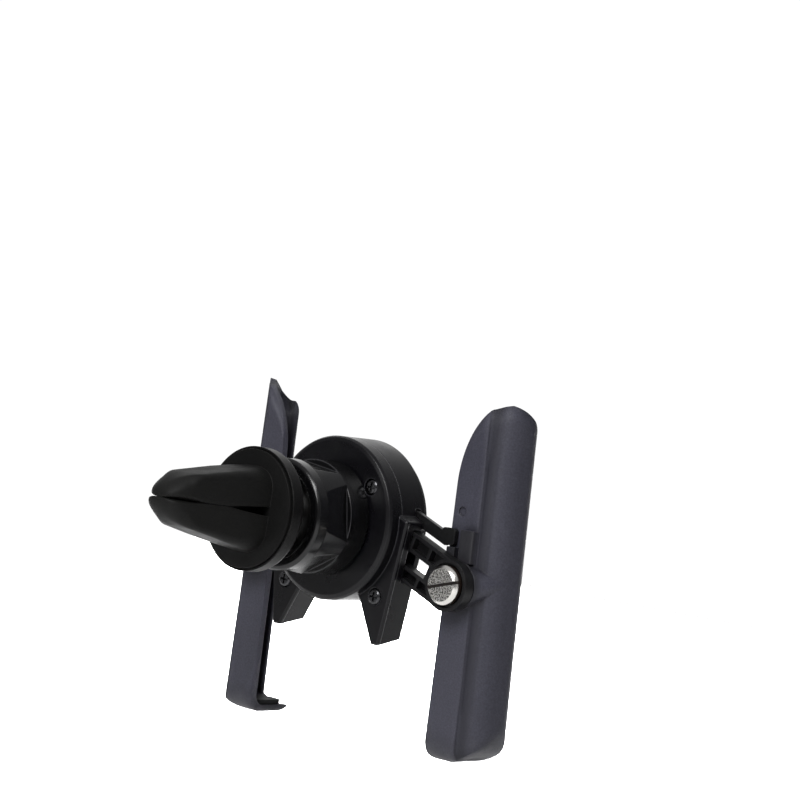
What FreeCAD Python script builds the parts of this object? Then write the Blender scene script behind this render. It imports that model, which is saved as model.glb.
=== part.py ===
import FreeCAD
import Part
import math
import os

V = FreeCAD.Vector
X_AXIS = V(1, 0, 0)
Y_AXIS = V(0, 1, 0)
Z_AXIS = V(0, 0, 1)

# Frame: +Z up, -Y towards the driver, +Y towards the vent, origin on the hub's axis at the
# front pad's face. "left" is the side at -X; every right-hand piece is the left one mirrored.

# Running clearance between pieces that move, and radial play of pins, screws and shafts
GAP = 0.3
PLAY = 0.05

# Hub: a round box with a shoulder and a leg on each side, split at SPLIT_Y
HUB_R = 18.7
HUB_WALL = 1.6
PAD_R = 17.8
PAD_SEAT = 0.5
FACE_Y = 1.9
LEG_Y = 3.6
SPLIT_Y = 9.7
LEG_BACK_Y = 10.7
BACK_Y = 13.9
COVER_T = 1.7
SKIN = 1.2
RIM_BEVEL = 1.0
LEG_FOOT_Z = -HUB_R - 7.9
LEG_HALF = HUB_R - 2.0
LEG_RISE = 1.6

# Slides: ribbed bars that run into the hub along a line rising inwards from each arm's pivot
PIVOT_X = HUB_R + 13.15
PIVOT_Z = -10.7
SLIDE_DEG = 21.13
TRAVEL = 7.0
BAR_HALF = 5.6
BAR_Y = 5.1
BAR_T = 2.7
BAR_LEN = 22.0
BAR_FLOOR = 0.8
BEAM = 0.8
EYE_R = 5.8
TONGUE_Y = 3.6
TONGUE_T = 1.2
TONGUE_V0 = 6.3
TONGUE_V1 = 9.0
TAB_HALF = 1.9
PIN_R = 1.35
PIN_U = BAR_LEN - 1.7
SLOT_V = -0.35

# Pivot screw
SCREW_R = 2.0
SCREW_HEAD_R = 4.6
SCREW_HEAD_T = 1.6
SCREW_TIP_Y = 2.0
WASHER_R = 4.2

# Housing screws
SMALL_HEAD_R = 1.8
SMALL_SHANK_R = 0.95

# Arms
ARM_EDGE = HUB_R + 9.1
ARM_WIDTH = 14.2
ARM_OUT = ARM_EDGE + ARM_WIDTH
ARM_TOP = 30.5
ARM_BOTTOM = -49.8
ARM_BACK = 3.3
ARM_FRONT = -9.8
ARM_WALL = 1.7
ARM_TAPER = 1.1
LIP_TAPER = 1.3
STRIP = ARM_WIDTH / 2 - 0.3
STRIP_TAPER = 1.7
ARM_CORNER = 0.73 * ARM_WIDTH
INNER_CORNER = 1.6
BACK_CORNER = 4.4
FOOT_CORNER = 3.4
CROWN_Z = ARM_TOP - 19.0
CROWN_Y = ARM_BACK - 0.7
CROWN_H = 11.0
LUG_TOP = 4.8
LINER_T = 0.6
LINER_TOP = ARM_TOP - 8.5
LINER_END = ARM_BOTTOM + 10.0
PAD_T = 1.2

# Ball joint and its clamp nut
BALL_R = 8.5
BALL_Y = 22.6
NECK_R = 4.5
COLLET_R = 10.4
COLLET_END = 26.3
NUT_END = 30.2
NUT_R = COLLET_R + GAP + 2.3
NUT_FLAT = NUT_R - 1.54
NUT_FLATS = 5
NUT_BAND = 3.6
FLANGE_R = 9.7
FLANGE_Y = 37.3
FLANGE_T = 1.3

# Clip
CLIP_TILT = 2.3
RING_R = 13.7
RING_Y = 35.8
RING_END = 39.3
DISC_R = RING_R - 0.6
DISC_END = 40.0
JAW_TIP = 66.0
JAW_ROOT_W = 7.2
JAW_ROOT_H = 9.5
JAW_TIP_W = 4.9
JAW_NOSE = 6.2
JAW_NOSE_H = 5.6


def xy(out, y):
    return V(-out, y, 0)


def xz(out, z):
    return V(-out, 0, z)


def yz(y, z):
    return V(0, y, z)


def outline(lift, start, steps):
    """Closed face; a step is a point, an arc (middle, end) or a quarter ellipse (centre, end, 1)."""
    edges = []
    here = start
    for step in steps:
        end = step
        if not isinstance(step[0], tuple):
            edges.append(Part.LineSegment(lift(*here), lift(*end)).toShape())
        elif len(step) == 2:
            end = step[1]
            edges.append(Part.Arc(lift(*here), lift(*step[0]), lift(*end)).toShape())
        else:
            end = step[1]
            edges.append(quarter(lift(*step[0]), lift(*here), lift(*end)))
        here = end
    if here != start:
        edges.append(Part.LineSegment(lift(*here), lift(*start)).toShape())
    return Part.Face(Part.Wire(edges))


def quarter(centre, one, two):
    """Quarter of an ellipse between the ends of its two half axes."""
    if (one - centre).Length < (two - centre).Length:
        one, two = two, one
    return Part.ArcOfEllipse(Part.Ellipse(one, two, centre), 0, math.pi / 2).toShape()


def rounded(lift, corners):
    """Face of a polygon whose corners are (a, b, radius)."""
    edges = []
    tangents = []
    for i, (a, b, r) in enumerate(corners):
        at = V(a, b, 0)
        back = (V(corners[i - 1][0], corners[i - 1][1], 0) - at).normalize()
        on = (V(corners[(i + 1) % len(corners)][0], corners[(i + 1) % len(corners)][1], 0) - at).normalize()
        half = back.getAngle(on) / 2
        cut = r / math.tan(half)
        mid = at + (back + on).normalize() * (r / math.sin(half) - r)
        tangents.append([at + back * cut, mid, at + on * cut])
    for i, (p, m, q) in enumerate(tangents):
        if corners[i][2] > 0:
            edges.append(Part.Arc(lift(p.x, p.y), lift(m.x, m.y), lift(q.x, q.y)).toShape())
        n = tangents[(i + 1) % len(tangents)][0]
        if (n - q).Length > 1e-6:
            edges.append(Part.LineSegment(lift(q.x, q.y), lift(n.x, n.y)).toShape())
    return Part.Face(Part.Wire(Part.__sortEdges__(edges)))


def along(face, axis, start, end):
    """Prism of a face through the origin's plane, from start to end along an axis."""
    moved = face.copy()
    moved.translate(axis * start)
    return moved.extrude(axis * (end - start))


def box(x0, x1, y0, y1, z0, z1):
    return Part.makeBox(x1 - x0, y1 - y0, z1 - z0, V(x0, y0, z0))


def disc(r, y0, y1, x=0, z=0):
    return Part.makeCylinder(r, y1 - y0, V(x, y0, z), Y_AXIS)


def turned(profile):
    """Solid of revolution about the Y axis from (radius, y) points."""
    points = [V(r, y, 0) for r, y in profile]
    return Part.Face(Part.makePolygon(points + points[:1])).revolve(V(0, 0, 0), Y_AXIS, 360)


def mirrored(shape):
    return shape.mirror(V(0, 0, 0), X_AXIS)


def both(shape):
    return shape.fuse(mirrored(shape))


def fused(shapes):
    return shapes[0].fuse(shapes[1:]).removeSplitter()


def on_slide(shape):
    """Place a shape drawn as (u, y, v), u inwards along the slide from the pivot, v upwards."""
    placed = shape.copy()
    placed.Placement = FreeCAD.Placement(V(-PIVOT_X, 0, PIVOT_Z), FreeCAD.Rotation(Y_AXIS, -SLIDE_DEG))
    return placed


def slide_point(u, v):
    """The (x, z) of a point of the left slide's plane."""
    t = math.radians(SLIDE_DEG)
    return (-PIVOT_X + u * math.cos(t) - v * math.sin(t), PIVOT_Z + u * math.sin(t) + v * math.cos(t))


def single(shape):
    """The one solid of a shape that a cut or a join leaves inside a compound."""
    return max(shape.Solids, key=lambda s: s.Volume)


# Hub
bar_back = BAR_Y + BAR_T
cover_in = BACK_Y - COVER_T
leg_corners = [
    (HUB_R - 4.7, 5.03, 0), (HUB_R + 2.3, 1.7, 0.6), (LEG_HALF, LEG_FOOT_Z, 0.7),
    (LEG_HALF - 2.2, LEG_FOOT_Z, 0.7), (HUB_R - 9.0, 1.2 - HUB_R, 4.0), (HUB_R - 12.7, 6.7 - HUB_R, 0),
]
leg_face = rounded(xz, leg_corners)
leg_inside = leg_face.makeOffset2D(-SKIN)
screw_ring = HUB_R - 4.29
upper_screw = (screw_ring * math.cos(math.radians(35)), screw_ring * math.sin(math.radians(35)))
lower_screw = (LEG_HALF - 2.5, LEG_FOOT_Z + 10.7)

# Under side of the legs, rising towards the front
leg_slope = along(Part.Face(Part.makePolygon([
    yz(LEG_BACK_Y - 0.4, LEG_FOOT_Z), yz(LEG_Y, LEG_FOOT_Z + LEG_RISE), yz(LEG_Y, LEG_FOOT_Z - 1),
    yz(LEG_BACK_Y - 0.4, LEG_FOOT_Z - 1), yz(LEG_BACK_Y - 0.4, LEG_FOOT_Z),
])), X_AXIS, -HUB_R, HUB_R)
leg_solid = both(along(leg_face, Y_AXIS, LEG_Y, SPLIT_Y)).cut(leg_slope)
inner_slope = leg_slope.copy()
inner_slope.translate(Z_AXIS * SKIN)
leg_hollow = both(along(leg_inside, Y_AXIS, LEG_Y + SKIN, SPLIT_Y)).cut(inner_slope)

shell = disc(HUB_R, FACE_Y, SPLIT_Y).fuse(leg_solid)
hollow = disc(HUB_R - HUB_WALL, FACE_Y + PAD_SEAT + 0.9, SPLIT_Y).fuse(leg_hollow)
channel = on_slide(box(EYE_R + 2.2, BAR_LEN + TRAVEL + 1, BAR_Y - 0.2, bar_back + 0.2, -BAR_HALF - GAP, BAR_HALF + GAP))
tongue_slot = on_slide(
    box(EYE_R + 2.2, BAR_LEN + TRAVEL + 2, TONGUE_Y - GAP, TONGUE_Y + TONGUE_T + GAP, TONGUE_V0 - GAP, TONGUE_V1 + GAP)
)
boss_top = disc(SMALL_HEAD_R + 0.4, TONGUE_Y + TONGUE_T + GAP, SPLIT_Y, -upper_screw[0], upper_screw[1])
boss_web = box(
    -HUB_R + HUB_WALL / 2, -upper_screw[0], TONGUE_Y + TONGUE_T + GAP, SPLIT_Y,
    upper_screw[1] - 0.65, upper_screw[1] + 0.65,
)
boss_web = boss_web.common(disc(HUB_R - 0.4, 0, BACK_Y))
boss_low = disc(SMALL_HEAD_R + 0.4, LEG_Y + SKIN, SPLIT_Y, -lower_screw[0], lower_screw[1])
bosses = both(fused([boss_top, boss_web, boss_low]))
pin_xz = slide_point(PIN_U, SLOT_V)
pin_hole = disc(PIN_R + PLAY, FACE_Y + PAD_SEAT + 0.2, cover_in + 0.7 + PLAY, pin_xz[0], pin_xz[1])
screw_holes = [
    disc(SMALL_SHANK_R + PLAY, SPLIT_Y - 4.3, BACK_Y, -x, z) for x, z in (upper_screw, lower_screw)
]
housing = shell.cut(hollow).cut(both(channel)).cut(both(tongue_slot)).fuse(bosses)
housing = housing.cut(disc(PAD_R, FACE_Y, FACE_Y + PAD_SEAT))
housing = housing.cut(both(fused([pin_hole] + screw_holes)))
front_housing = single(housing.removeSplitter())

front_pad = turned([
    (0, 0), (PAD_R - 0.6, 0), (PAD_R - 0.18, 0.18), (PAD_R, 0.6), (PAD_R, FACE_Y + PAD_SEAT), (0, FACE_Y + PAD_SEAT),
])

# Rear cover with the split collet that carries the ball
cup = Part.makeSphere(BALL_R + 0.07, V(0, BALL_Y, 0))
cover_disc = turned([
    (0, cover_in), (HUB_R - HUB_WALL, cover_in), (HUB_R - HUB_WALL, SPLIT_Y), (HUB_R, SPLIT_Y),
    (HUB_R, BACK_Y - RIM_BEVEL), (HUB_R - 0.35, BACK_Y - 0.35), (HUB_R - RIM_BEVEL - 0.15, BACK_Y), (0, BACK_Y),
])
leg_ring = along(leg_face, Y_AXIS, SPLIT_Y, LEG_BACK_Y)
leg_ring = leg_ring.makeChamfer(0.35, [
    e for e in leg_ring.Edges if abs(e.BoundBox.YMin - LEG_BACK_Y) < 1e-6 and abs(e.BoundBox.YMax - LEG_BACK_Y) < 1e-6
])
leg_ring = leg_ring.cut(leg_slope)
leg_plates = both(leg_ring.cut(disc(HUB_R - HUB_WALL, SPLIT_Y, cover_in)))
collet = turned([
    (0, cover_in), (COLLET_R, cover_in), (COLLET_R, COLLET_END - 1.1), (COLLET_R - 1.6, COLLET_END), (0, COLLET_END),
])
slots = [
    box(-15, 15, BALL_Y - 4.6, COLLET_END + 1, -0.7, 0.7),
    box(-0.7, 0.7, BALL_Y - 4.6, COLLET_END + 1, -15, 15),
]
head_sinks = [
    disc(SMALL_HEAD_R + 0.15, BACK_Y - 1.2, BACK_Y + 1, -upper_screw[0], upper_screw[1]),
    disc(SMALL_HEAD_R + 0.15, LEG_BACK_Y - 0.6, LEG_BACK_Y + 1, -lower_screw[0], lower_screw[1]),
]
rear = fused([cover_disc, leg_plates, collet]).cut(cup).cut(slots[0]).cut(slots[1])
rear_cover = single(rear.cut(both(fused([pin_hole] + head_sinks + screw_holes))).removeSplitter())


def small_screw(x, z, top):
    """Pan head screw with a cross recess, its head standing under top."""
    head = turned([
        (0, top - 1.1), (SMALL_HEAD_R, top - 1.1), (SMALL_HEAD_R, top - 0.5), (SMALL_HEAD_R - 0.13, top - 0.2),
        (SMALL_HEAD_R - 0.45, top), (0, top),
    ])
    head.translate(V(x, 0, z))
    shank = disc(SMALL_SHANK_R, SPLIT_Y - 4.0, top - 0.8, x, z)
    cross = box(x - 1.1, x + 1.1, top - 0.7, top + 1, z - 0.25, z + 0.25)
    cross = cross.fuse(box(x - 0.25, x + 0.25, top - 0.7, top + 1, z - 1.1, z + 1.1))
    return head.fuse(shank).cut(cross).removeSplitter()


upper = small_screw(-upper_screw[0], upper_screw[1], BACK_Y - 0.1)
lower = small_screw(-lower_screw[0], lower_screw[1], LEG_BACK_Y + 0.5)
housing_screws = Part.makeCompound([upper, lower, mirrored(upper), mirrored(lower)])

pin = disc(PIN_R, FACE_Y + PAD_SEAT + 0.25, cover_in + 0.7, pin_xz[0], pin_xz[1])
guide_pins = Part.makeCompound([pin, mirrored(pin)])

# Leaf spring pressed between the cover and the back of a slide's bar
leaf_points = [
    (BAR_LEN + 6.4, cover_in - 0.3), (BAR_LEN + 3.1, cover_in - 0.3), (BAR_LEN - 0.8, bar_back + GAP),
    (BAR_LEN - 3.0, bar_back + GAP + 1.0), (BAR_LEN - 2.85, bar_back + GAP + 1.3),
    (BAR_LEN - 0.85, bar_back + GAP + 0.4), (BAR_LEN + 2.95, cover_in), (BAR_LEN + 6.4, cover_in),
]
leaf_wire = Part.makePolygon([V(u, y, 1.5) for u, y in leaf_points + leaf_points[:1]])
brake_spring_left = on_slide(Part.Face(leaf_wire).extrude(Z_AXIS * 3.6))

# Slide: eye at the pivot, ribbed bar, and a tongue beside the bar that ends in a stop tab
through = box(EYE_R + 0.5, BAR_LEN - 0.1, 0, BACK_Y, SLOT_V - PIN_R - GAP, SLOT_V + PIN_R + GAP)
rib_up = SLOT_V + PIN_R + GAP + BEAM
rib_down = SLOT_V - PIN_R - GAP - BEAM
bar = box(0, BAR_LEN, BAR_Y, bar_back, -BAR_HALF, BAR_HALF)
cell_end = BAR_LEN * 0.327
pitch = (BAR_LEN - 5.2) / 3
cells = []
for u0, u1 in (
    (2.0, cell_end), (cell_end + BEAM, cell_end + pitch), (cell_end + pitch + BEAM, cell_end + 2 * pitch),
    (cell_end + 2 * pitch + BEAM, BAR_LEN - BEAM),
):
    cells.append(box(u0, u1, BAR_Y + BAR_FLOOR, BACK_Y, rib_up, BAR_HALF - BEAM))
    cells.append(box(u0, u1, BAR_Y + BAR_FLOOR, BACK_Y, -BAR_HALF + BEAM, rib_down))
for cell in cells + [through]:
    bar = bar.cut(cell)
eye = disc(EYE_R, BAR_Y, bar_back)
tongue = box(7.0, BAR_LEN, TONGUE_Y, TONGUE_Y + TONGUE_T, TONGUE_V0, TONGUE_V1)
web = box(BAR_LEN - 2.4, BAR_LEN, TONGUE_Y, BAR_Y + 0.6, BAR_HALF - 2.1, TONGUE_V1 - 2.0)
slide = fused([bar, eye, tongue, web])
slide = slide.cut(disc(SCREW_HEAD_R + GAP, BAR_Y + 1.8, BACK_Y)).cut(disc(SCREW_R + PLAY, 0, BACK_Y))
tab_x = PIVOT_X - 3.55
tab_z = PIVOT_Z + 10.5
tab = rounded(xz, [
    (tab_x + TAB_HALF, tab_z + TAB_HALF, 0.8), (tab_x - TAB_HALF, tab_z + TAB_HALF, 0.8),
    (tab_x - TAB_HALF, tab_z - TAB_HALF, 0.8), (tab_x + TAB_HALF, tab_z - TAB_HALF, 0.8),
])
tab = along(tab, Y_AXIS, TONGUE_Y, TONGUE_Y + TONGUE_T)
slide_left = single(on_slide(slide).fuse(tab).removeSplitter())

# Arm: a shell whose outer wall bulges outwards, with a flat back strip, a front lip and a foot;
# the wall and the lip lean in towards the top
mid_arc = 1 - math.sqrt(0.5)


def wall_at(z):
    """Outermost point of the arm's section at a height."""
    return ARM_OUT - ARM_TAPER * (z - ARM_BOTTOM) / (ARM_TOP - ARM_BOTTOM)


def lip_at(z):
    """Front of the arm's section at a height."""
    return ARM_FRONT + LIP_TAPER * (z - ARM_BOTTOM) / (ARM_TOP - ARM_BOTTOM)


def strip_at(z):
    """Outer edge of the arm's flat back strip at a height."""
    return ARM_EDGE + STRIP + STRIP_TAPER * (ARM_TOP - z) / (ARM_TOP - ARM_BOTTOM)


def at_height(z):
    return lambda out, y: V(-out, y, z)


def outer_section(z):
    out, front, edge = wall_at(z), lip_at(z), strip_at(z)
    return outline(at_height(z), (ARM_EDGE, ARM_BACK), [
        (edge, ARM_BACK),
        ((edge + 0.6, ARM_BACK - 0.15), (edge + 0.85, ARM_BACK - 0.6)),
        ((edge + 1.5, ARM_BACK - 1.4), (edge + 2.4, ARM_BACK - 2.05)),
        ((out - 1.6, ARM_BACK - 4.8), (out - 0.2, ARM_BACK - 8.6)),
        ((out - 1.1, front + 1.1), (out - 3.8, front)),
        (ARM_EDGE, front),
    ]).OuterWire


def inner_section(z):
    out, front, edge = wall_at(z), lip_at(z), strip_at(z)
    return outline(at_height(z), (ARM_EDGE - 3, ARM_BACK - ARM_WALL), [
        (edge - 0.4, ARM_BACK - ARM_WALL),
        (edge + 1.6, ARM_BACK - 3.1),
        ((out - 3.0, ARM_BACK - 5.4), (out - 1.9, ARM_BACK - 8.6)),
        ((out - 2.5, front + 2.3), (out - 4.0, front + 1.6)),
        (out - 5.0, front + 1.6),
        ((out - 5.8, front + 0.8), (out - 5.0, front)),
        (out - 5.0, front - 3),
        (ARM_EDGE - 3, front - 3),
    ]).OuterWire


corner_z = ARM_BOTTOM + ARM_CORNER
crown_out = wall_at(ARM_TOP) - 0.2
front_view = outline(xz, (ARM_EDGE, CROWN_Z), [
    (ARM_EDGE, ARM_BOTTOM + INNER_CORNER),
    ((ARM_EDGE + INNER_CORNER * mid_arc, ARM_BOTTOM + INNER_CORNER * mid_arc), (ARM_EDGE + INNER_CORNER, ARM_BOTTOM)),
    (ARM_OUT - ARM_CORNER, ARM_BOTTOM),
    ((ARM_OUT - ARM_CORNER * mid_arc, ARM_BOTTOM + ARM_CORNER * mid_arc), (wall_at(corner_z), corner_z)),
    (crown_out + 0.2, ARM_TOP),
    (crown_out, ARM_TOP),
    ((crown_out, CROWN_Z), (ARM_EDGE, CROWN_Z), 1),
])
crown_front = lip_at(ARM_TOP - CROWN_H) - 0.03
side_view = outline(yz, (ARM_BACK, ARM_TOP), [
    (ARM_BACK, ARM_BOTTOM + BACK_CORNER),
    ((ARM_BACK - BACK_CORNER * mid_arc, ARM_BOTTOM + BACK_CORNER * mid_arc), (ARM_BACK - BACK_CORNER, ARM_BOTTOM)),
    (ARM_FRONT + FOOT_CORNER, ARM_BOTTOM),
    (
        (ARM_FRONT + FOOT_CORNER * mid_arc, ARM_BOTTOM + FOOT_CORNER * mid_arc),
        (ARM_FRONT - 0.03, ARM_BOTTOM + FOOT_CORNER),
    ),
    (crown_front, ARM_TOP - CROWN_H),
    ((CROWN_Y, ARM_TOP - CROWN_H), (CROWN_Y, ARM_TOP), 1),
])
outer = Part.makeLoft([outer_section(ARM_BOTTOM), outer_section(ARM_TOP)], True, True)
outer = outer.common(along(front_view, Y_AXIS, ARM_FRONT - 1, ARM_BACK + 1))
outer = outer.common(along(side_view, X_AXIS, -ARM_OUT - 1, -ARM_EDGE + 1))

floor_z = ARM_BOTTOM + ARM_WALL
inner_front = rounded(xz, [
    (ARM_EDGE - 3, floor_z, 0), (ARM_OUT - ARM_WALL, floor_z, ARM_CORNER - ARM_WALL),
    (ARM_OUT - ARM_WALL, ARM_TOP + 1, 0), (ARM_EDGE - 3, ARM_TOP + 1, 0),
])
inner_side = rounded(yz, [
    (ARM_BACK - ARM_WALL, floor_z, BACK_CORNER - ARM_WALL), (ARM_BACK - ARM_WALL, ARM_TOP + 1, 0),
    (ARM_FRONT - 4, ARM_TOP + 1, 0), (ARM_FRONT - 4, floor_z, 0),
])
cavity = Part.makeLoft([inner_section(floor_z), inner_section(ARM_TOP)], True, True)
cavity = cavity.common(along(inner_front, Y_AXIS, ARM_FRONT - 4, ARM_BACK))
cavity = cavity.common(along(inner_side, X_AXIS, -ARM_OUT, -ARM_EDGE + 3))

ring_wire = Part.Wire(Part.makeCircle(EYE_R, V(-PIVOT_X, LUG_TOP, PIVOT_Z), Y_AXIS))
apex_wire = Part.Wire(Part.makeCircle(0.5, V(-ARM_OUT + 1.6, ARM_BACK - 7.3, PIVOT_Z + 1.7), Y_AXIS))
nose = Part.makeLoft([apex_wire, ring_wire], True, True)
nose = nose.common(box(-ARM_OUT, -PIVOT_X + 1.85, ARM_FRONT, LUG_TOP, ARM_BOTTOM, ARM_TOP)).cut(cavity)
gusset = box(-strip_at(PIVOT_Z) - 0.2, -strip_at(PIVOT_Z) + 3.7, ARM_BACK - 0.5, LUG_TOP, PIVOT_Z + 5.2, PIVOT_Z + 12.3)
stop = box(-PIVOT_X + 1.25, -PIVOT_X + 3.55, ARM_BACK - 0.5, LUG_TOP, PIVOT_Z + 5.9, PIVOT_Z + 8.3)
screw_bore = disc(SCREW_R, SCREW_TIP_Y, BAR_Y, -PIVOT_X, PIVOT_Z)
dimple = disc(1.1, ARM_BACK - 0.4, ARM_BACK + 1, -ARM_EDGE - 2.5, 5.6)
arm = fused([outer.cut(cavity), nose, gusset, stop]).cut(screw_bore).cut(dimple)
arm_left = single(arm)

liner_face = Part.Face(Part.makePolygon([
    xz(wall_at(LINER_END) - ARM_WALL, LINER_END), xz(wall_at(LINER_TOP) - ARM_WALL, LINER_TOP),
    xz(wall_at(LINER_TOP) - 1.9 - LINER_T, LINER_TOP), xz(wall_at(LINER_END) - 1.9 - LINER_T, LINER_END),
    xz(wall_at(LINER_END) - ARM_WALL, LINER_END),
]))
side_liner_left = single(along(liner_face, Y_AXIS, ARM_FRONT + 2.4, ARM_BACK - 6.2).cut(arm_left))
pad = rounded(xy, [
    (ARM_EDGE + 0.7, ARM_BACK - 3.3, 0.8), (ARM_OUT - ARM_CORNER + 3.0, ARM_BACK - 3.3, 0.8),
    (ARM_OUT - ARM_CORNER + 3.0, ARM_FRONT + 1.8, 1.5), (ARM_EDGE + 0.7, ARM_FRONT + 1.8, 1.5),
])
foot_pad_left = single(along(pad, Z_AXIS, floor_z, floor_z + PAD_T).cut(arm_left))

# Pivot screw with its slotted head, and the thin washer between the arm and the slide's eye
head_y = BAR_Y + 1.9
head_top = head_y + SCREW_HEAD_T
head = turned([
    (0, head_y), (SCREW_HEAD_R, head_y), (SCREW_HEAD_R, head_top - 0.8), (SCREW_HEAD_R - 0.14, head_top - 0.4),
    (SCREW_HEAD_R - 0.42, head_top - 0.12), (SCREW_HEAD_R - 0.85, head_top), (0, head_top),
])
slot = box(-SCREW_HEAD_R - 1, SCREW_HEAD_R + 1, head_top - 0.7, head_top + 1, -0.45, 0.45)
slot.rotate(V(0, 0, 0), Y_AXIS, 17)
pivot_screw = head.cut(slot).fuse(disc(SCREW_R, SCREW_TIP_Y, head_y)).removeSplitter()
pivot_screw.translate(V(-PIVOT_X, 0, PIVOT_Z))
pivot_screw_left = single(pivot_screw)
washer = disc(WASHER_R, LUG_TOP, BAR_Y - PLAY, -PIVOT_X, PIVOT_Z)
washer = washer.common(box(-ARM_OUT, -PIVOT_X + 1.85, 0, BAR_Y, ARM_BOTTOM, ARM_TOP))
pivot_washer_left = single(washer.cut(disc(SCREW_R + PLAY, 0, 20, -PIVOT_X, PIVOT_Z)))

# Clamp nut: bevelled band, body with flats, plain skirt next to the hub
nut_y = BACK_Y + GAP
band_y = NUT_END - NUT_BAND
nut = turned([
    (COLLET_R + GAP, nut_y), (NUT_R - 0.4, nut_y), (NUT_R, nut_y + 0.4), (NUT_R - 0.3, BALL_Y - 2.7),
    (NUT_R + 0.1, BALL_Y - 2.5), (NUT_R - 0.75, band_y), (NUT_R - 0.5, band_y + 0.3),
    (NUT_R - 0.5, NUT_END - 0.6), (NUT_R - 0.85, NUT_END - 0.2), (NUT_R - 1.3, NUT_END),
    (10.2, NUT_END), (9.6, NUT_END - 0.6), (7.7, NUT_END - 2.5), (7.7, NUT_END - 2.9),
    (COLLET_R + GAP, NUT_END - 4.5),
])
for k in range(NUT_FLATS):
    flat = box(NUT_FLAT, NUT_R + 2, BALL_Y - 2.6, band_y, -NUT_R, NUT_R)
    flat.rotate(V(0, 0, 0), Y_AXIS, 190 + 360.0 * k / NUT_FLATS)
    nut = nut.cut(flat)
clamp_nut = single(nut)

# Ball stud
neck = turned([
    (0, BALL_Y), (NECK_R, BALL_Y), (NECK_R, RING_Y - 4.0), (6.7, RING_Y - 0.6),
    (6.7, FLANGE_Y), (FLANGE_R, FLANGE_Y), (FLANGE_R, FLANGE_Y + FLANGE_T), (0, FLANGE_Y + FLANGE_T),
])
ball_stud = single(Part.makeSphere(BALL_R, V(0, BALL_Y, 0)).fuse(neck).removeSplitter())

# Clip: ring on the stud's flange, and rubber jaws over a stiff core
step_y = FLANGE_Y + FLANGE_T + GAP
clip_ring = turned([
    (7.0, RING_Y), (RING_R - 0.8, RING_Y), (RING_R - 0.23, RING_Y + 0.23), (RING_R, RING_Y + 0.8),
    (RING_R, RING_END), (DISC_R + 0.15, RING_END), (DISC_R + 0.15, step_y), (FLANGE_R + GAP, step_y),
    (FLANGE_R + GAP, FLANGE_Y - GAP), (7.0, FLANGE_Y - GAP),
])


def jaw_section(y, half_w, half_h, r):
    def lift(a, b):
        return V(a, y, b)
    corners = [(half_w, half_h, r), (-half_w, half_h, r), (-half_w, -half_h, r), (half_w, -half_h, r)]
    return rounded(lift, corners).OuterWire


nose_y = JAW_TIP - JAW_NOSE
root_y = DISC_END - 0.2
tip_h = JAW_ROOT_H - (JAW_ROOT_H - JAW_NOSE_H) * (JAW_TIP - root_y) / (nose_y - root_y)
jaws = Part.makeLoft([
    jaw_section(root_y, JAW_ROOT_W, JAW_ROOT_H, JAW_ROOT_W - 1.2), jaw_section(JAW_TIP, JAW_TIP_W, tip_h, 2.6),
], True, True)
plan = rounded(xy, [
    (JAW_ROOT_W + 0.1, root_y, 0), (-JAW_ROOT_W - 0.1, root_y, 0),
    (-JAW_TIP_W - 0.1, JAW_TIP, 4.4), (JAW_TIP_W + 0.1, JAW_TIP, 4.4),
])
side = outline(yz, (root_y, JAW_ROOT_H + 0.03), [
    (nose_y, JAW_NOSE_H + 0.03),
    ((nose_y, 0.4), (JAW_TIP, 0.4), 1),
    (JAW_TIP, -0.4),
    ((nose_y, -0.4), (nose_y, -JAW_NOSE_H - 0.03), 1),
    (root_y, -JAW_ROOT_H - 0.03),
])
jaws = jaws.common(along(plan, Z_AXIS, -12, 12)).common(along(side, X_AXIS, -12, 12))
slit_half = [
    (DISC_END + 0.4, 0.75), (48.0, 0.12), (JAW_TIP - 10.0, 0.2), (JAW_TIP - 7.5, 0.5), (JAW_TIP - 5.4, 0.8),
    (JAW_TIP - 3.0, 0.65), (JAW_TIP + 1, 0.4),
]
slit_points = slit_half + [(y, -z) for y, z in reversed(slit_half)]
slit = Part.Face(Part.makePolygon([yz(y, z) for y, z in slit_points + slit_points[:1]]))
slit = along(slit, X_AXIS, -12, 12)
plate = disc(DISC_R - 0.9, step_y, step_y + 0.7)
blades = [box(-3.0, 3.0, step_y, JAW_TIP - 8.0, z, z + 1.4) for z in (-4.2, 2.8)]
jaw_core = fused([plate] + blades)
rubber = fused([disc(DISC_R, step_y, DISC_END), jaws]).cut(slit)
rubber_jaws = single(rubber.cut(jaw_core))

# The clip stands tilted up about the ball's centre
clip = [ball_stud, clip_ring, jaw_core, rubber_jaws]
for piece in clip:
    piece.rotate(V(0, BALL_Y, 0), X_AXIS, CLIP_TILT)

nodes = {
    "front_pad": front_pad,
    "front_housing": front_housing,
    "rear_cover": rear_cover,
    "housing_screws": housing_screws,
    "guide_pins": guide_pins,
    "clamp_nut": clamp_nut,
    "ball_stud": ball_stud,
    "clip_ring": clip_ring,
    "jaw_core": jaw_core,
    "rubber_jaws": rubber_jaws,
}
for name, shape in (
    ("brake_spring", brake_spring_left), ("slide", slide_left), ("arm", arm_left),
    ("side_liner", side_liner_left), ("foot_pad", foot_pad_left),
    ("pivot_screw", pivot_screw_left), ("pivot_washer", pivot_washer_left),
):
    nodes[name + "_left"] = shape
    nodes[name + "_right"] = mirrored(shape)

os.makedirs("parts", exist_ok=True)
for name, shape in nodes.items():
    shape.exportStep("parts/" + name + ".step")
    print(name, len(shape.Solids), shape.isValid(), round(shape.Volume, 1))
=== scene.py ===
import bpy
import bmesh
import math
from mathutils import Matrix, Vector


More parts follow.
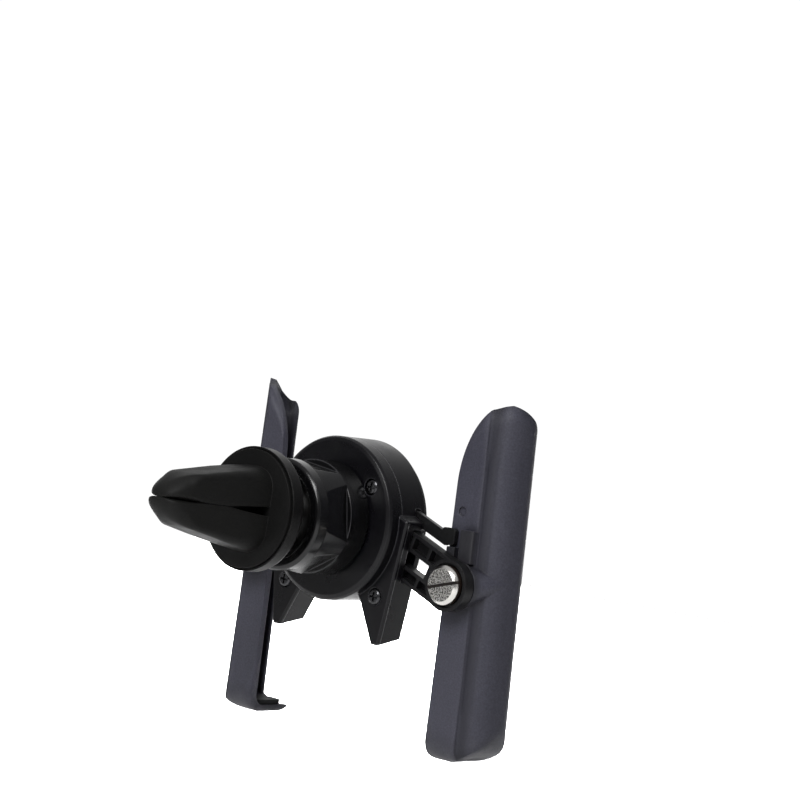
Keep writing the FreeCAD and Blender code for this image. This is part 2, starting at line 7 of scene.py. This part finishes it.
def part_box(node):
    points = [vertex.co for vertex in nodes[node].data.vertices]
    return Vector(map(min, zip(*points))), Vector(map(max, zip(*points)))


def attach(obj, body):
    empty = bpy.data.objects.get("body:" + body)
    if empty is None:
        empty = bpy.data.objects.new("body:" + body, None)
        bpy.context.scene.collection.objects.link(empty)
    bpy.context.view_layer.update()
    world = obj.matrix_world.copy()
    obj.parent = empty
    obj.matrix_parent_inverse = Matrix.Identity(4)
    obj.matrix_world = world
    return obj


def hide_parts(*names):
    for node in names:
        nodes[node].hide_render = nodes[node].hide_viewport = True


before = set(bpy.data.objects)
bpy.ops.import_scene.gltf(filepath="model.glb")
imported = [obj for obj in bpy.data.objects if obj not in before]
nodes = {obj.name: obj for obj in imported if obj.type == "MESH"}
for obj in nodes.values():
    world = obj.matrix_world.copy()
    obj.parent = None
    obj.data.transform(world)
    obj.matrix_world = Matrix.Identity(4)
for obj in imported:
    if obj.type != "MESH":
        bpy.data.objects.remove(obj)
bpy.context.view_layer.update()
scene = bpy.context.scene

# Lengths are in metres and angles in degrees. Only the jaws and their disc are drawn in millimetres.
MM = 0.001

# Camera, fitted to the hub's circles, the screws and the leg tips in the photo
CAMERA_AZIMUTH = 42.1
CAMERA_ELEVATION = -0.5
CAMERA_ROLL = 7.25
CAMERA_AIM = (-0.0041, -0.0006, 0.0285)
CAMERA_DISTANCE = 0.50829
CAMERA_NEAR = 0.01
FOCAL_PIXELS = 2206.54
PHOTO_PIXELS = 800
SENSOR_MM = 36.0

# Bands on the arm, along the frame's axes, over which its material changes
TOP_END_Z = (0.016, 0.024)
LOW_END_Z = (-0.044, -0.036)
LOW_SHADE_Z = (-0.0500, -0.0425)
PROUD_Y = (0.0031, 0.0046)
WALL_Y = (-0.0030, 0.0020)

# What the arm's material changes to there: radii of its edges, and colours and strengths of painted light
# and shade
ARM_EDGE_R = 0.0003
ARM_END_R = 0.0050
LOW_SHADE_COLOUR = (0.012, 0.0118, 0.017)
LOW_SHADE_STRENGTH = 0.75
PROUD_SHADE_COLOUR = (0.016, 0.0158, 0.019)
WALL_LIGHT_AND_SHADE = (0.74, 1.12)

# Valley along the back strip: where the strip's edge lies at two heights, the band about that edge,
# and shares across the band with the level there, where 1 is the brim and 0 is a whole depth below
STRIP_Z = (-0.0498, 0.0305)
STRIP_EDGE_X = (0.0363, 0.0346)
VALLEY_X = (-0.0022, 0.0040)
VALLEY_SECTION = ((0.30, 1.0), (0.46, 0.35), (0.55, 0.2), (0.68, 0.4), (0.88, 0.92))
VALLEY_DEPTH = 0.0008
# Painted shade along the valley's floor
VALLEY_SHADE_COLOUR = (0.015, 0.0148, 0.021)

# Painted shade in the arm's hollows: how far off a wall is felt, the shares of open sky over which the
# tone rises to 1, and the tone of the deepest ones
HOLLOW_REACH = 0.004
HOLLOW_OPEN = (0.70, 0.97)
HOLLOW_SHADE_TONE = 0.55

# Pivot screw, drawn about the middle of its head's face, with its axis along Y. The soft pairs say
# how far, across and along, the chamfer's two edges are softened.
SCREW_FACE_R = 0.0036
SCREW_R = 0.0044
SHANK_R = 0.0019
HEAD_DEPTH = 0.0021
HEAD_PROUD = 0.0009
CHAMFER_DEPTH = 0.0009
OUTER_SOFT = (0.00004, 0.00012)
INNER_SOFT = (0.00012, 0.00006)
SLOT_WIDTH = 0.0007
SLOT_DEPTH = 0.0008
SLOT_TURN = 15.0
CUTTER_LENGTH = 0.02

# Where the screw's finish changes: fades about the rim and the slot's walls, and the depths that painted
# shade fills in the slot and on the head's side
RIM_FADE = 0.0001
SLOT_FADE = (-0.00001, 0.00003)
SLOT_SHADE_Y = (-0.00055, -0.00022)
SIDE_SHADE_Y = (-0.00105, -0.00095)

# Disc that carries the jaws, in millimetres: a rim about a shallow recess, with softened edges
DISC_BACK, DISC_END, DISC_R = 38.6, 40.0, 13.1
RIM_WIDTH, RIM_SET_BACK, RECESS = 0.85, 0.05, 0.75
BACK_CHAMFER = (0.12, 0.2)
FRONT_ROUND, FRONT_ROUND_MID = 0.25, 0.08

# Jaws, in millimetres: the place and angle of the clip's tilt, places along Y, and sizes there,
# measured from the middle of a section
TILT_Y, TILT = 22.6, 2.3
JAW_ROOT, NOSE_Y, JAW_TIP = 39.6, 58.3, 65.98
HALF_WIDTHS = ((JAW_ROOT, 7.2), (JAW_TIP, 4.95))
HALF_GAPS = ((40.4, 1.0), (47.0, 0.48), (51.0, 0.05), (53.0, 0.02), (JAW_TIP, 0.02))
HEIGHTS = ((JAW_ROOT, 9.5), (NOSE_Y, 6.05), (JAW_TIP, 4.9))
CORNER_RADII = ((JAW_ROOT, 5.6), (43.5, 3.2), (48.0, 1.8), (NOSE_Y, 1.3))
LIP_WIDTHS = ((57.0, 0.3), (61.0, 2.4), (JAW_TIP, 2.6))
LIP_RISES = ((57.0, 0.16), (61.0, 0.85), (63.5, 0.95), (JAW_TIP, 0.5))

# How blunt the nose is across and in height, the shares of its size left at the tip, and the most
# that corners and lips take of a section's half width and height
UPPER_BLUNT, LOWER_BLUNT, HEIGHT_BLUNT = 2.8, 3.6, 2.1
TIP_WIDTH, TIP_HEIGHT = 0.04, 0.03
CORNER_MOST = (0.97, 0.59)
LIP_MOST = (0.62, 0.4)

# Steps in the jaws' mesh, along them and round a section
BARREL_RINGS, NOSE_RINGS = 20, 28
LIP_STEPS, SIDE_STEPS, CORNER_STEPS, FLAT_STEPS = 4, 6, 12, 4

# Turned forms: their sides, and the radius in millimetres at which their ends are shut
LATHE_SIDES = 96
CLOSING_R = 0.01

# How many times lighter than its plastic the painted highlight on an edge is, where no colour is given for
# it
EDGE_HIGHLIGHT_GAIN = 2.2

# Floor, and the way that the white backdrop lies
FLOOR_HALF = 1.3
FLOOR_Z = -0.12
BACKDROP_WAY = (0.670, -0.742, 0.0)


def place_camera():
    azimuth = math.radians(CAMERA_AZIMUTH)
    elevation = math.radians(CAMERA_ELEVATION)
    roll = math.radians(CAMERA_ROLL)
    level = math.cos(elevation)
    back = Vector((-math.sin(azimuth) * level, math.cos(azimuth) * level, math.sin(elevation)))
    right = (-back).cross(Vector((0, 0, 1))).normalized()
    up = right.cross(-back)
    cam_x = right * math.cos(roll) + up * math.sin(roll)
    cam_y = up * math.cos(roll) - right * math.sin(roll)
    spot = Vector(CAMERA_AIM) + back * CAMERA_DISTANCE
    data = bpy.data.cameras.new("photo_camera")
    data.sensor_width = SENSOR_MM
    data.lens = FOCAL_PIXELS / PHOTO_PIXELS * SENSOR_MM
    data.clip_start = CAMERA_NEAR
    camera = bpy.data.objects.new("photo_camera", data)
    camera.matrix_world = Matrix((
        (cam_x.x, cam_y.x, back.x, spot.x),
        (cam_x.y, cam_y.y, back.y, spot.y),
        (cam_x.z, cam_y.z, back.z, spot.z),
        (0, 0, 0, 1),
    ))
    scene.collection.objects.link(camera)
    scene.camera = camera


# Node helpers
def material(name):
    m = bpy.data.materials.new(name)
    m.use_nodes = True
    tree = m.node_tree
    return m, tree, tree.nodes["Principled BSDF"]


def feed(tree, socket, value):
    """Link a socket to another one, or set it to a number or a vector."""
    if isinstance(value, bpy.types.NodeSocket):
        tree.links.new(value, socket)
    else:
        socket.default_value = value


def number(tree, operation, *values):
    """The result of a Math node, whose values are sockets or numbers."""
    n = tree.nodes.new("ShaderNodeMath")
    n.operation = operation
    for socket, value in zip(n.inputs, values):
        feed(tree, socket, value)
    return n.outputs["Value"]


def vector(tree, operation, output, *values):
    """A result of a Vector Math node, whose values are sockets or vectors."""
    n = tree.nodes.new("ShaderNodeVectorMath")
    n.operation = operation
    for socket, value in zip(n.inputs, values):
        feed(tree, socket, value)
    return n.outputs[output]


def places(tree):
    """The object's own coordinates, whole and split into X, Y and Z."""
    whole = tree.nodes.new("ShaderNodeTexCoord").outputs["Object"]
    split = tree.nodes.new("ShaderNodeSeparateXYZ")
    tree.links.new(whole, split.inputs["Vector"])
    return whole, split.outputs["X"], split.outputs["Y"], split.outputs["Z"]


def noise(tree, scale, detail=2.0, rough=0.5):
    n = tree.nodes.new("ShaderNodeTexNoise")
    n.inputs["Scale"].default_value = scale
    n.inputs["Detail"].default_value = detail
    n.inputs["Roughness"].default_value = rough
    tree.links.new(tree.nodes.new("ShaderNodeTexCoord").outputs["Object"], n.inputs["Vector"])
    return n.outputs["Fac"]


def spread(tree, value, low, high, start=0.3, end=0.7):
    """Map a factor from start..end to low..high."""
    r = tree.nodes.new("ShaderNodeMapRange")
    for key, level in (("From Min", start), ("From Max", end), ("To Min", low), ("To Max", high)):
        r.inputs[key].default_value = level
    tree.links.new(value, r.inputs["Value"])
    return r.outputs["Result"]


def blended(tree, factor, one, two):
    """Mix two colours, each a socket or three numbers; a factor of 1 gives the second."""
    m = tree.nodes.new("ShaderNodeMix")
    m.data_type = "RGBA"
    tree.links.new(factor, m.inputs["Factor"])
    for socket, colour in ((m.inputs["A"], one), (m.inputs["B"], two)):
        feed(tree, socket, (*colour, 1.0) if isinstance(colour, tuple) else colour)
    return m.outputs["Result"]


def scaled(tree, colour, factor):
    """Multiply a colour by a factor, both of them sockets."""
    m = tree.nodes.new("ShaderNodeMix")
    m.data_type = "RGBA"
    m.blend_type = "MULTIPLY"
    m.inputs["Factor"].default_value = 1.0
    tree.links.new(colour, m.inputs["A"])
    tree.links.new(factor, m.inputs["B"])
    return m.outputs["Result"]


def rounding(tree, radius, samples):
    """A Bevel node, which shades edges as if they were rounded."""
    bevel = tree.nodes.new("ShaderNodeBevel")
    bevel.samples = samples
    feed(tree, bevel.inputs["Radius"], radius)
    return bevel


def relief(tree, height, distance, strength):
    """A Bump node on a height; the normal that it starts from may be linked to it."""
    bump = tree.nodes.new("ShaderNodeBump")
    bump.inputs["Distance"].default_value = distance
    feed(tree, bump.inputs["Strength"], strength)
    tree.links.new(height, bump.inputs["Height"])
    return bump


# Materials
def moulded(
    name, dark, light, rough, gloss,
    grain=6500.0, height=0.000012, radius=0.00018, edge_highlight=0.5, edge=None,
):
    """Moulded plastic or rubber: fine spark grain, uneven gloss, rounded edges with a painted highlight.
    """
    m, tree, shader = material(name)
    bevel = rounding(tree, radius, samples=6)
    bevel.name = "rounding"
    flat = tree.nodes.new("ShaderNodeNewGeometry").outputs["Normal"]
    facing = vector(tree, "DOT_PRODUCT", "Value", bevel.outputs["Normal"], flat)
    # Painted highlight along the rounded edges, in the given edge colour or a lighter copy of the plastic
    edges = spread(tree, facing, low=edge_highlight, high=0.0, start=0.8, end=0.97)
    blotches = noise(tree, scale=90.0, detail=3.0)
    speckle = noise(tree, scale=2400.0, rough=0.7)
    sheen = noise(tree, scale=240.0, detail=4.0)
    tone = blended(tree, blotches, dark, light)
    tone = blended(tree, edges, tone, edge or tuple(min(1.0, c * EDGE_HIGHLIGHT_GAIN) for c in light))
    tone = scaled(tree, tone, spread(tree, speckle, low=0.80, high=1.24))
    bump = relief(tree, noise(tree, grain, detail=3.0, rough=0.6), height, strength=0.7)
    bump.name = "grain"
    tree.links.new(bevel.outputs["Normal"], bump.inputs["Normal"])
    tree.links.new(bump.outputs["Normal"], shader.inputs["Normal"])
    tree.links.new(tone, shader.inputs["Base Color"])
    tree.links.new(spread(tree, sheen, rough - 0.05, rough + 0.06), shader.inputs["Roughness"])
    shader.inputs["Specular IOR Level"].default_value = gloss
    return m


def soften_ends(tree, z):
    """Round the arm's edges more towards its two ends."""
    top = spread(tree, z, 0.0, 1.0, *TOP_END_Z)
    low = spread(tree, z, 1.0, 0.0, *LOW_END_Z)
    ends = number(tree, "MAXIMUM", top, low)
    radius = spread(tree, ends, ARM_EDGE_R, ARM_END_R, 0.0, 1.0)
    tree.links.new(radius, tree.nodes["rounding"].inputs["Radius"])


def valley_level(tree, x, z):
    """The level of the valley along the arm's back strip: 1 outside it and lower towards its floor."""
    edge = spread(tree, z, *STRIP_EDGE_X, *STRIP_Z)
    past = number(tree, "SUBTRACT", number(tree, "ABSOLUTE", x), edge)
    section = tree.nodes.new("ShaderNodeFloatCurve")
    curve = section.mapping.curves[0]
    for point, at in zip(curve.points, (0.0, 1.0)):
        point.location = (at, 1.0)
    for at, level in VALLEY_SECTION:
        curve.points.new(at, level)
    section.mapping.update()
    tree.links.new(spread(tree, past, 0.0, 1.0, *VALLEY_X), section.inputs["Value"])
    return section.outputs["Value"]


def hollow_shade(tree):
    """Painted shade for how open a place on the arm is, from the tone of a deep hollow up to 1."""
    hollow = tree.nodes.new("ShaderNodeAmbientOcclusion")
    hollow.samples = 8
    hollow.only_local = True
    hollow.inputs["Distance"].default_value = HOLLOW_REACH
    return spread(tree, hollow.outputs["AO"], HOLLOW_SHADE_TONE, 1.0, *HOLLOW_OPEN)


def shape_arm(m):
    """Soften the arm's ends, lay the valley along its back strip, and paint light and shade onto its
    parts.
    """
    tree = m.node_tree
    colour = tree.nodes["Principled BSDF"].inputs["Base Color"]
    _, x, y, z = places(tree)
    soften_ends(tree, z)
    level = valley_level(tree, x, z)
    # Painted shade on what stands proud of the strip: the gusset, the stop, the lug and its nose
    proud = spread(tree, y, 0.0, 1.0, *PROUD_Y)
    # Painted shade, darker towards the arm's bottom end
    low = spread(tree, z, LOW_SHADE_STRENGTH, 0.0, *LOW_SHADE_Z)
    tone = blended(tree, proud, colour.links[0].from_socket, PROUD_SHADE_COLOUR)
    # Painted shade along the valley's floor
    tone = blended(tree, level, VALLEY_SHADE_COLOUR, tone)
    # Painted light and shade across the wall: lighter towards the back, darker towards the front
    tone = scaled(tree, tone, spread(tree, y, *WALL_LIGHT_AND_SHADE, *WALL_Y))
    tone = blended(tree, low, tone, LOW_SHADE_COLOUR)
    # Painted shade in the arm's hollows
    tree.links.new(scaled(tree, tone, hollow_shade(tree)), colour)
    valley = relief(tree, level, VALLEY_DEPTH, strength=1.0)
    tree.links.new(tree.nodes["rounding"].outputs["Normal"], valley.inputs["Normal"])
    tree.links.new(valley.outputs["Normal"], tree.nodes["grain"].inputs["Normal"])


def metal(name, dark, light, rough, height=0.00002, strength=0.5):
    """Plated metal with a granular face."""
    m, tree, shader = material(name)
    patches = noise(tree, scale=900.0, detail=4.0, rough=0.6)
    sheen = noise(tree, scale=1500.0, detail=3.0)
    bump = relief(tree, noise(tree, scale=4200.0, rough=0.6), height, strength)
    bevel = rounding(tree, radius=0.0002, samples=4)
    tree.links.new(bevel.outputs["Normal"], bump.inputs["Normal"])
    tree.links.new(bump.outputs["Normal"], shader.inputs["Normal"])
    tree.links.new(blended(tree, patches, dark, light), shader.inputs["Base Color"])
    tree.links.new(spread(tree, sheen, rough - 0.08, rough + 0.1), shader.inputs["Roughness"])
    shader.inputs["Metallic"].default_value = 1.0
    return m


def screw_shade(tree, whole, y):
    """Painted shade: 1 deep in the slot and on the head's side below its chamfer, 0 elsewhere on the
    metal.
    """
    turn = math.radians(SLOT_TURN)
    across = vector(tree, "DOT_PRODUCT", "Value", whole, (math.sin(turn), 0.0, math.cos(turn)))
    wall = [SLOT_WIDTH / 2 + fade for fade in SLOT_FADE]
    within = spread(tree, number(tree, "ABSOLUTE", across), 1.0, 0.0, *wall)
    slot = number(tree, "MULTIPLY", spread(tree, y, 1.0, 0.0, *SLOT_SHADE_Y), within)
    return number(tree, "MAXIMUM", slot, spread(tree, y, 1.0, 0.0, *SIDE_SHADE_Y))


def screw_metal():
    """Nickel with a coarse cast face, a smooth rim and painted shade in the slot and on the head's side;
    the head's centre is the origin.
    """
    m, tree, shader = material("screw_nickel")
    whole, _, y, _ = places(tree)
    far = vector(tree, "LENGTH", "Value", vector(tree, "MULTIPLY", "Vector", whole, (1.0, 0.0, 1.0)))
    rim = spread(tree, far, 0.0, 1.0, SCREW_FACE_R - RIM_FADE, SCREW_FACE_R + RIM_FADE)
    shade_mask = screw_shade(tree, whole, y)
    cast = noise(tree, scale=2900.0, detail=3.0, rough=0.7)
    grains = spread(tree, cast, 0.0, 1.0, start=0.43, end=0.57)
    tone = blended(tree, grains, (0.045, 0.043, 0.040), (0.78, 0.765, 0.73))
    tone = blended(tree, rim, tone, (0.80, 0.78, 0.74))
    # Painted shade in the slot and on the head's side, which also dulls the metal there
    tone = blended(tree, shade_mask, tone, (0.020, 0.014, 0.011))
    bump = relief(tree, cast, distance=0.00009, strength=spread(tree, rim, 0.9, 0.1, 0.0, 1.0))
    tree.links.new(bump.outputs["Normal"], shader.inputs["Normal"])
    tree.links.new(tone, shader.inputs["Base Color"])
    tree.links.new(spread(tree, shade_mask, 1.0, 0.2, 0.0, 1.0), shader.inputs["Metallic"])
    tree.links.new(spread(tree, rim, 0.42, 0.24, 0.0, 1.0), shader.inputs["Roughness"])
    return m


# Each plastic has a painted highlight along its rounded edges, whose strength, and for some its colour, is
# set here
arm_plastic = moulded(
    "arm_plastic", dark=(0.038, 0.0377, 0.052), light=(0.046, 0.0456, 0.062), rough=0.46, gloss=0.38,
    height=0.000035, edge_highlight=0.45,
)
shape_arm(arm_plastic)
hub_plastic = moulded(
    "hub_plastic", dark=(0.0023, 0.0021, 0.0030), light=(0.0032, 0.0030, 0.0040), rough=0.30, gloss=0.30,
    radius=0.0004, edge_highlight=0.8, edge=(0.052, 0.052, 0.060),
)
slide_plastic = moulded(
    "slide_plastic", dark=(0.0050, 0.0050, 0.0055), light=(0.0075, 0.0075, 0.0080), rough=0.34, gloss=0.30,
)
nut_plastic = moulded(
    "nut_plastic", dark=(0.0019, 0.0019, 0.0022), light=(0.0028, 0.0028, 0.0032), rough=0.20, gloss=0.50,
    height=0.000005, radius=0.0004, edge_highlight=0.9, edge=(0.040, 0.040, 0.043),
)
ring_plastic = moulded(
    "ring_plastic", dark=(0.0026, 0.0025, 0.0025), light=(0.0036, 0.0035, 0.0035), rough=0.36, gloss=0.20,
    radius=0.0003, edge_highlight=0.8, edge=(0.018, 0.017, 0.017),
)
core_plastic = moulded(
    "core_plastic", dark=(0.0060, 0.0060, 0.0060), light=(0.0090, 0.0090, 0.0090), rough=0.5, gloss=0.2,
)
jaw_rubber = moulded(
    "jaw_rubber", dark=(0.0050, 0.0050, 0.0047), light=(0.0068, 0.0068, 0.0064), rough=0.58, gloss=0.16,
    grain=9000.0, edge_highlight=0.2,
)
disc_rubber = moulded(
    "disc_rubber", dark=(0.0022, 0.0022, 0.0021), light=(0.0030, 0.0030, 0.0029), rough=0.55, gloss=0.14,
    grain=9000.0,
)
pad_rubber = moulded(
    "pad_rubber", dark=(0.0080, 0.0080, 0.0085), light=(0.0110, 0.0110, 0.0115), rough=0.6, gloss=0.2,
    grain=9000.0, edge_highlight=0.2,
)
black_screw = metal("black_screw", dark=(0.045, 0.045, 0.048), light=(0.10, 0.10, 0.105), rough=0.24)
steel = metal("spring_steel", dark=(0.45, 0.46, 0.47), light=(0.6, 0.61, 0.62), rough=0.3)
nickel = metal(
    "nickel_plate", dark=(0.42, 0.41, 0.39), light=(0.78, 0.77, 0.75), rough=0.30,
    height=0.00012, strength=1.0,
)
screw_plate = screw_metal()

looks = {
    "arm": arm_plastic, "side_liner": pad_rubber, "foot_pad": pad_rubber, "front_pad": pad_rubber,
    "front_housing": hub_plastic, "rear_cover": hub_plastic, "slide": slide_plastic,
    "clamp_nut": nut_plastic, "ball_stud": ring_plastic, "clip_ring": ring_plastic,
    "jaw_core": core_plastic, "rubber_jaws": jaw_rubber, "housing_screws": black_screw,
    "guide_pins": steel, "brake_spring": steel, "pivot_screw": nickel, "pivot_washer": nickel,
}
for name, thing in nodes.items():
    kind = name.removesuffix("_left").removesuffix("_right")
    thing.data.materials.clear()
    thing.data.materials.append(looks[kind])


# Pieces that take the place of plain CAD solids
def piece(name, bm, look, body, node, crease):
    """A smooth mesh that rides a body in a node's place, sharp where it turns by more than crease."""
    bmesh.ops.recalc_face_normals(bm, faces=bm.faces)
    mesh = bpy.data.meshes.new(name)
    bm.to_mesh(mesh)
    bm.free()
    mesh.materials.append(look)
    mesh.polygons.foreach_set("use_smooth", [True] * len(mesh.polygons))
    mesh.set_sharp_from_angle(angle=math.radians(crease))
    thing = bpy.data.objects.new(name, mesh)
    scene.collection.objects.link(thing)
    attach(thing, body)
    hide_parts(node)
    return thing


def skin(bm, rings):
    """Join closed rings of points into a tube with both ends shut."""
    rows = [[bm.verts.new(p) for p in ring] for ring in rings]
    count = len(rows[0])
    for one, two in zip(rows, rows[1:]):
        for i in range(count):
            bm.faces.new((one[i], one[(i + 1) % count], two[(i + 1) % count], two[i]))
    bm.faces.new(rows[0])
    bm.faces.new(rows[-1])


def lathe(bm, profile, unit):
    """Turn points of radius and height about Y and shut both ends; unit is a millimetre's length."""
    closing = CLOSING_R * unit
    points = [(closing, profile[0][1]), *profile, (closing, profile[-1][1])]
    turns = [math.tau * k / LATHE_SIDES for k in range(LATHE_SIDES)]
    skin(bm, [[(r * math.cos(a), y, r * math.sin(a)) for a in turns] for r, y in points])


def ease(t):
    """A smooth step from 0 to 1."""
    t = min(1.0, max(0.0, t))
    return t * t * (3 - 2 * t)


def between(value, points):
    """Read a value off a line through points, which are sorted."""
    for (a, va), (b, vb) in zip(points, points[1:]):
        if value <= b:
            return va + (vb - va) * max(0.0, value - a) / (b - a)
    return points[-1][1]


def swell(t, power):
    """What is left of a size at a share t along the nose, as on a superellipse."""
    return (1 - t ** power) ** (1 / power) if t < 1 else 0.0


def quarter(x, z, width, height, start, steps):
    """Points on a quarter of an ellipse about (x, z), from a start angle on."""
    turns = [math.radians(start + 90 * k / steps) for k in range(steps + 1)]
    return [(x + width * math.cos(a), z + height * math.sin(a)) for a in turns]


def jaw_ring(y, side):
    """A closed ring round one jaw at a distance along it, in millimetres."""
    t = max(0.0, (y - NOSE_Y) / (JAW_TIP - NOSE_Y))
    blunt = UPPER_BLUNT if side > 0 else LOWER_BLUNT
    half = between(y, HALF_WIDTHS) * max(TIP_WIDTH, swell(t, blunt))
    gap = between(y, HALF_GAPS)
    tall = between(y, HEIGHTS) - gap
    top = gap + tall * max(TIP_HEIGHT, swell(t, HEIGHT_BLUNT))
    corner = between(y, CORNER_RADII)
    corner_w = min(corner + (half - corner) * ease(t), half * CORNER_MOST[0])
    corner_h = min(corner + (tall - corner) * ease(t), (top - gap) * CORNER_MOST[1])
    lip_w = min(between(y, LIP_WIDTHS), half * LIP_MOST[0])
    lip_h = min(between(y, LIP_RISES), (top - gap) * LIP_MOST[1])
    side_low, side_high = gap + lip_h, top - corner_h
    ring = quarter(half - lip_w, side_low, lip_w, lip_h, -90, LIP_STEPS)
    ring += [(half, side_low + (side_high - side_low) * k / SIDE_STEPS) for k in range(1, SIDE_STEPS)]
    ring += quarter(half - corner_w, side_high, corner_w, corner_h, 0, CORNER_STEPS)
    ring += [((half - corner_w) * (1 - k / FLAT_STEPS), top) for k in range(1, FLAT_STEPS)]
    ring += [(0.0, top)] + [(-x, z) for x, z in reversed(ring)]
    ring += [((lip_w - half) * (1 - k / FLAT_STEPS), gap) for k in range(1, 2 * FLAT_STEPS)]
    return [(x, y, z * side) for x, z in ring]


def rubber_jaws():
    """Two jaws with rounded noses and lips, on one disc, tilted with the clip."""
    bm = bmesh.new()
    barrel, nose = NOSE_Y - JAW_ROOT, JAW_TIP - NOSE_Y
    steps = [JAW_ROOT + barrel * k / BARREL_RINGS for k in range(BARREL_RINGS)]
    steps += [NOSE_Y + nose * math.sin(math.radians(90 * k / NOSE_RINGS)) for k in range(NOSE_RINGS + 1)]
    for side in (1, -1):
        skin(bm, [jaw_ring(y, side) for y in steps])
    jaw_faces = set(bm.faces)
    lathe(bm, [
        (DISC_R - RIM_WIDTH, DISC_BACK + RECESS), (DISC_R - RIM_WIDTH, DISC_BACK + RIM_SET_BACK),
        (DISC_R - BACK_CHAMFER[0], DISC_BACK + RIM_SET_BACK), (DISC_R, DISC_BACK + BACK_CHAMFER[1]),
        (DISC_R, DISC_END - FRONT_ROUND), (DISC_R - FRONT_ROUND_MID, DISC_END - FRONT_ROUND_MID),
        (DISC_R - FRONT_ROUND, DISC_END),
    ], unit=1.0)
    for face in bm.faces:
        if face not in jaw_faces:
            face.material_index = 1
    pivot = Matrix.Translation((0, TILT_Y, 0))
    turn = pivot @ Matrix.Rotation(math.radians(TILT), 4, "X") @ pivot.inverted()
    bmesh.ops.transform(bm, matrix=Matrix.Scale(MM, 4) @ turn, verts=bm.verts)
    thing = piece("soft_jaws", bm, jaw_rubber, "clip", "rubber_jaws", crease=32.0)
    thing.data.materials.append(disc_rubber)


def slot_cutter():
    """A bar across the screw's head, half of it below the face."""
    turn = Matrix.Rotation(math.radians(SLOT_TURN), 3, "Y")
    bm = bmesh.new()
    bmesh.ops.create_cube(bm, size=1.0)
    bmesh.ops.scale(bm, vec=(CUTTER_LENGTH, 2 * SLOT_DEPTH, SLOT_WIDTH), verts=bm.verts)
    bmesh.ops.rotate(bm, cent=(0, 0, 0), matrix=turn, verts=bm.verts)
    mesh = bpy.data.meshes.new("cutter")
    bm.to_mesh(mesh)
    bm.free()
    cutter = bpy.data.objects.new("cutter", mesh)
    scene.collection.objects.link(cutter)
    return cutter


def cut_away(thing, cutter):
    """Take the cutter out of a piece's mesh for good, and delete the cutter."""
    cut = thing.modifiers.new("slot", "BOOLEAN")
    cut.operation = "DIFFERENCE"
    cut.solver = "EXACT"
    cut.object = cutter
    bpy.context.view_layer.update()
    done = thing.evaluated_get(bpy.context.evaluated_depsgraph_get())
    mesh = bpy.data.meshes.new_from_object(done)
    thing.modifiers.clear()
    thing.data = mesh
    bpy.data.objects.remove(cutter)


def slotted_screw(side):
    """A pivot screw that reaches as deep as its solid, with a prouder, slotted head."""
    node = "pivot_screw_" + side
    low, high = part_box(node)
    centre = Vector(((low[0] + high[0]) / 2, high[1] + HEAD_PROUD, (low[2] + high[2]) / 2))
    deep = low[1] - centre.y
    bm = bmesh.new()
    lathe(bm, [
        (SHANK_R, deep), (SHANK_R, -HEAD_DEPTH), (SCREW_R, -HEAD_DEPTH), (SCREW_R, -CHAMFER_DEPTH),
        (SCREW_R - OUTER_SOFT[0], OUTER_SOFT[1] - CHAMFER_DEPTH),
        (SCREW_FACE_R + INNER_SOFT[0], -INNER_SOFT[1]), (SCREW_FACE_R, 0.0),
    ], unit=MM)
    thing = piece("slotted_screw_" + side, bm, screw_plate, "arm_" + side, node, crease=25.0)
    cut_away(thing, slot_cutter())
    thing.matrix_world = Matrix.Translation(centre)


# Floor and light
def pale(name):
    m, tree, shader = material(name)
    tone = blended(tree, noise(tree, scale=3.0), (0.93, 0.93, 0.93), (0.96, 0.96, 0.96))
    tree.links.new(tone, shader.inputs["Base Color"])
    shader.inputs["Roughness"].default_value = 0.8
    return m


def floor():
    bm = bmesh.new()
    bmesh.ops.create_grid(bm, x_segments=8, y_segments=8, size=FLOOR_HALF)
    mesh = bpy.data.meshes.new("floor")
    bm.to_mesh(mesh)
    bm.free()
    mesh.materials.append(pale("pale_floor"))
    plane = bpy.data.objects.new("floor", mesh)
    plane.location = (0, 0, FLOOR_Z)
    scene.collection.objects.link(plane)


def area(name, spot, aim, size, power, fan=180.0):
    data = bpy.data.lights.new(name, "AREA")
    data.shape = "RECTANGLE"
    data.size, data.size_y = size
    data.energy = power
    data.spread = math.radians(fan)
    lamp = bpy.data.objects.new(name, data)
    lamp.location = spot
    lamp.rotation_euler = (Vector(aim) - Vector(spot)).to_track_quat("-Z", "Y").to_euler()
    scene.collection.objects.link(lamp)


def studio():
    """White on the side that the photo's camera looks towards, dim behind it, a soft glow above."""
    world = bpy.data.worlds.new("studio")
    world.use_nodes = True
    tree = world.node_tree
    way = tree.nodes.new("ShaderNodeTexCoord").outputs["Generated"]
    upwards = vector(tree, "DOT_PRODUCT", "Value", way, (0.0, 0.0, 1.0))
    ahead = vector(tree, "DOT_PRODUCT", "Value", way, BACKDROP_WAY)
    glow = spread(tree, upwards, 0.0, 1.0, start=0.1, end=0.95)
    backdrop = spread(tree, ahead, 0.0, 1.0, start=0.45, end=0.92)
    colour = blended(tree, glow, (0.075, 0.075, 0.08), (0.42, 0.42, 0.43))
    colour = blended(tree, backdrop, colour, (1.04, 1.04, 1.04))
    tree.links.new(colour, tree.nodes["Background"].inputs["Color"])
    scene.world = world


rubber_jaws()
for hand in ("left", "right"):
    slotted_screw(hand)
floor()
studio()
area("key", spot=(-0.22, 0.58, 0.52), aim=(0, 0.01, 0), size=(0.40, 0.40), power=6.2)
area("side", spot=(-0.75, 0.25, 0.05), aim=(0, 0.01, 0), size=(0.15, 0.6), power=0.15)
area("sweep", spot=(0.70, -0.80, 0.90), aim=(0.70, -0.85, FLOOR_Z), size=(0.9, 0.9), power=45.0, fan=70.0)
scene.view_settings.view_transform = "Standard"
place_camera()
